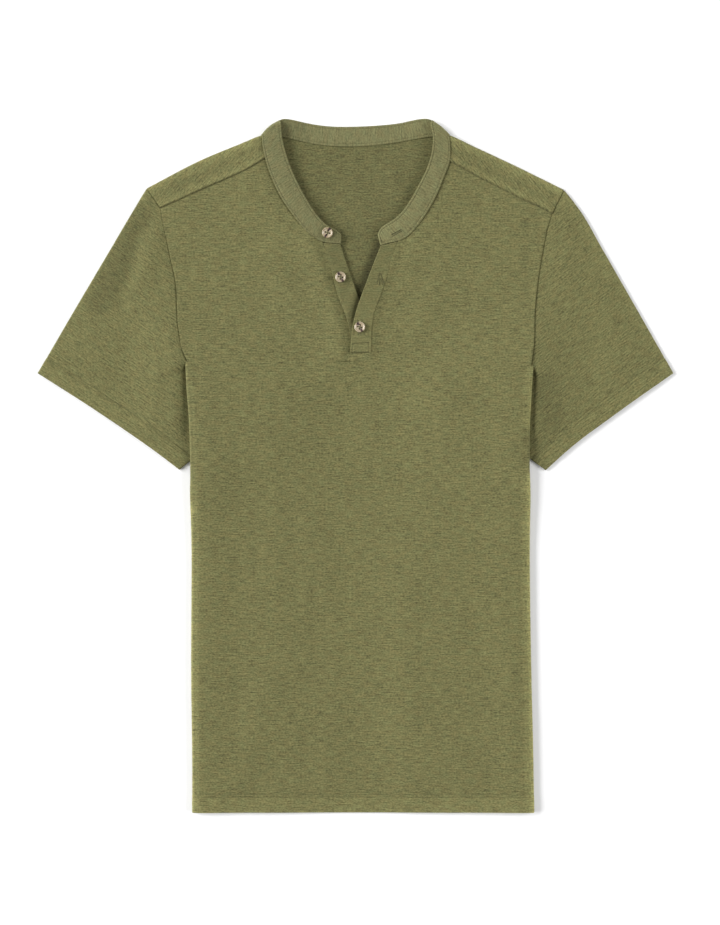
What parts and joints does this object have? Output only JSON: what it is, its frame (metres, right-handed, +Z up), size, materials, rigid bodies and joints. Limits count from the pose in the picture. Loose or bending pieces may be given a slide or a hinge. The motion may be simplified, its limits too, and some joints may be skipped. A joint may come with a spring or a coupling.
{
  "type": "henley shirt laid flat",
  "caption": "Short-sleeved jersey henley laid flat with its sides folded in behind, narrow neck band, and a buttoned placket open in a V.",
  "frame": {"origin": "middle of the laid-out shirt's outline, on the surface that it lies on", "axes": "+X to the right of someone looking down at the shirt, +Y towards the collar, +Z up from the surface"},
  "size_m": [0.654, 0.7142, 0.0103],
  "materials": {
    "jersey": "heathered olive single jersey, matt",
    "trim_jersey": "the same jersey doubled and topstitched",
    "button_horn": "cream and brown imitation horn, softly polished"
  },
  "bodies": {
    "root": {"front_panel": "jersey", "back_panel": "jersey", "left_sleeve": "jersey", "right_sleeve": "jersey", "neck_band": "trim_jersey", "button_placket": "trim_jersey", "buttonhole_placket": "trim_jersey", "button_top": "button_horn", "button_middle": "button_horn", "button_bottom": "button_horn"}
  },
  "joints": []
}
